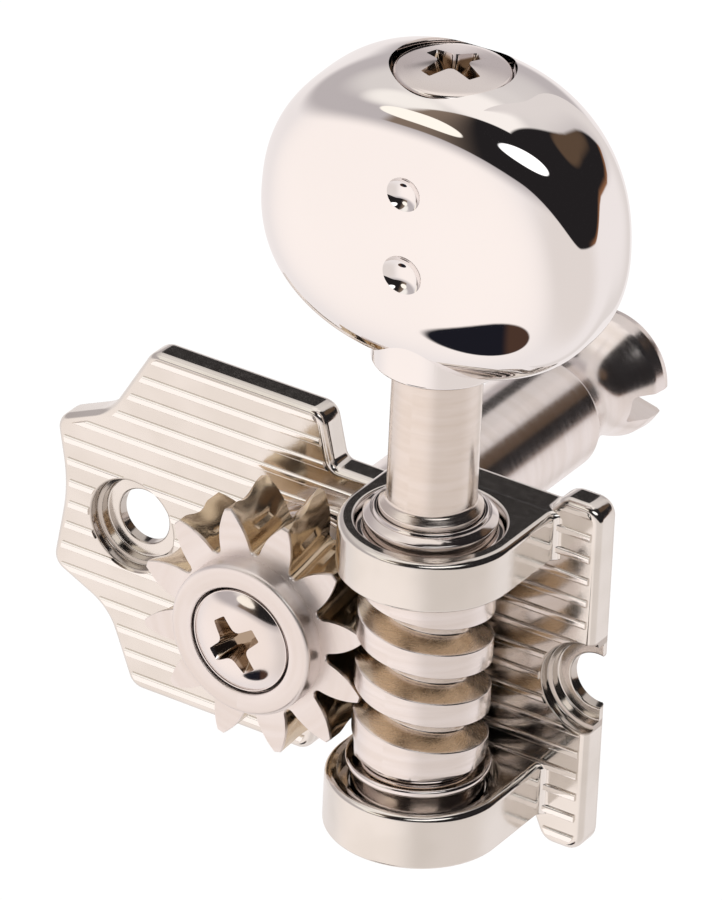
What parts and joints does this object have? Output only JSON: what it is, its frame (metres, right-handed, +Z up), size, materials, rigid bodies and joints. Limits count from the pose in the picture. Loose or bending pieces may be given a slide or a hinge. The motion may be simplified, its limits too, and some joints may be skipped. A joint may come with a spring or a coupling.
{
  "type": "guitar tuning machine",
  "caption": "Open-gear guitar tuning machine: ribbed nickel plate, worm shaft with mirror button, twelve-tooth wheel and slotted string post.",
  "frame": {"origin": "where the string post's axis meets the plate's back face, which lies on the headstock", "axes": "+Z up the worm shaft to the button, +Y back along the string post through the headstock, +X towards the half-notched edge"},
  "size_m": [0.0344, 0.0365, 0.0438],
  "materials": {
    "plate_nickel": "satin",
    "bush_nickel": "polished",
    "shaft_nickel": "brushed",
    "button_chrome": "mirror",
    "screw_nickel": "polished",
    "wheel_nickel": "satin",
    "post_nickel": "polished"
  },
  "bodies": {
    "plate": {"base_plate": "plate_nickel", "upper_bush": "bush_nickel", "lower_bush": "bush_nickel"},
    "worm": {"worm_shaft": "shaft_nickel", "worm_thrust_washer": "bush_nickel", "button": "button_chrome", "button_screw": "screw_nickel"},
    "post": {"string_post": "post_nickel", "worm_wheel": "wheel_nickel", "wheel_washer": "bush_nickel", "wheel_screw": "screw_nickel"}
  },
  "joints": [
    {"name": "worm_spin", "type": "hinge", "parent": "plate", "child": "worm", "pos_m": [0.0087, -0.00607, 0.007], "axis": [0, 0, 1], "continuous": true},
    {"name": "post_spin", "type": "hinge", "parent": "plate", "child": "post", "pos_m": [0, 0, 0], "axis": [0, 1, 0], "continuous": true}
  ],
  "couplings": [
    {"joint": "post_spin", "follows": "worm_spin", "ratio": -0.083333}
  ]
}
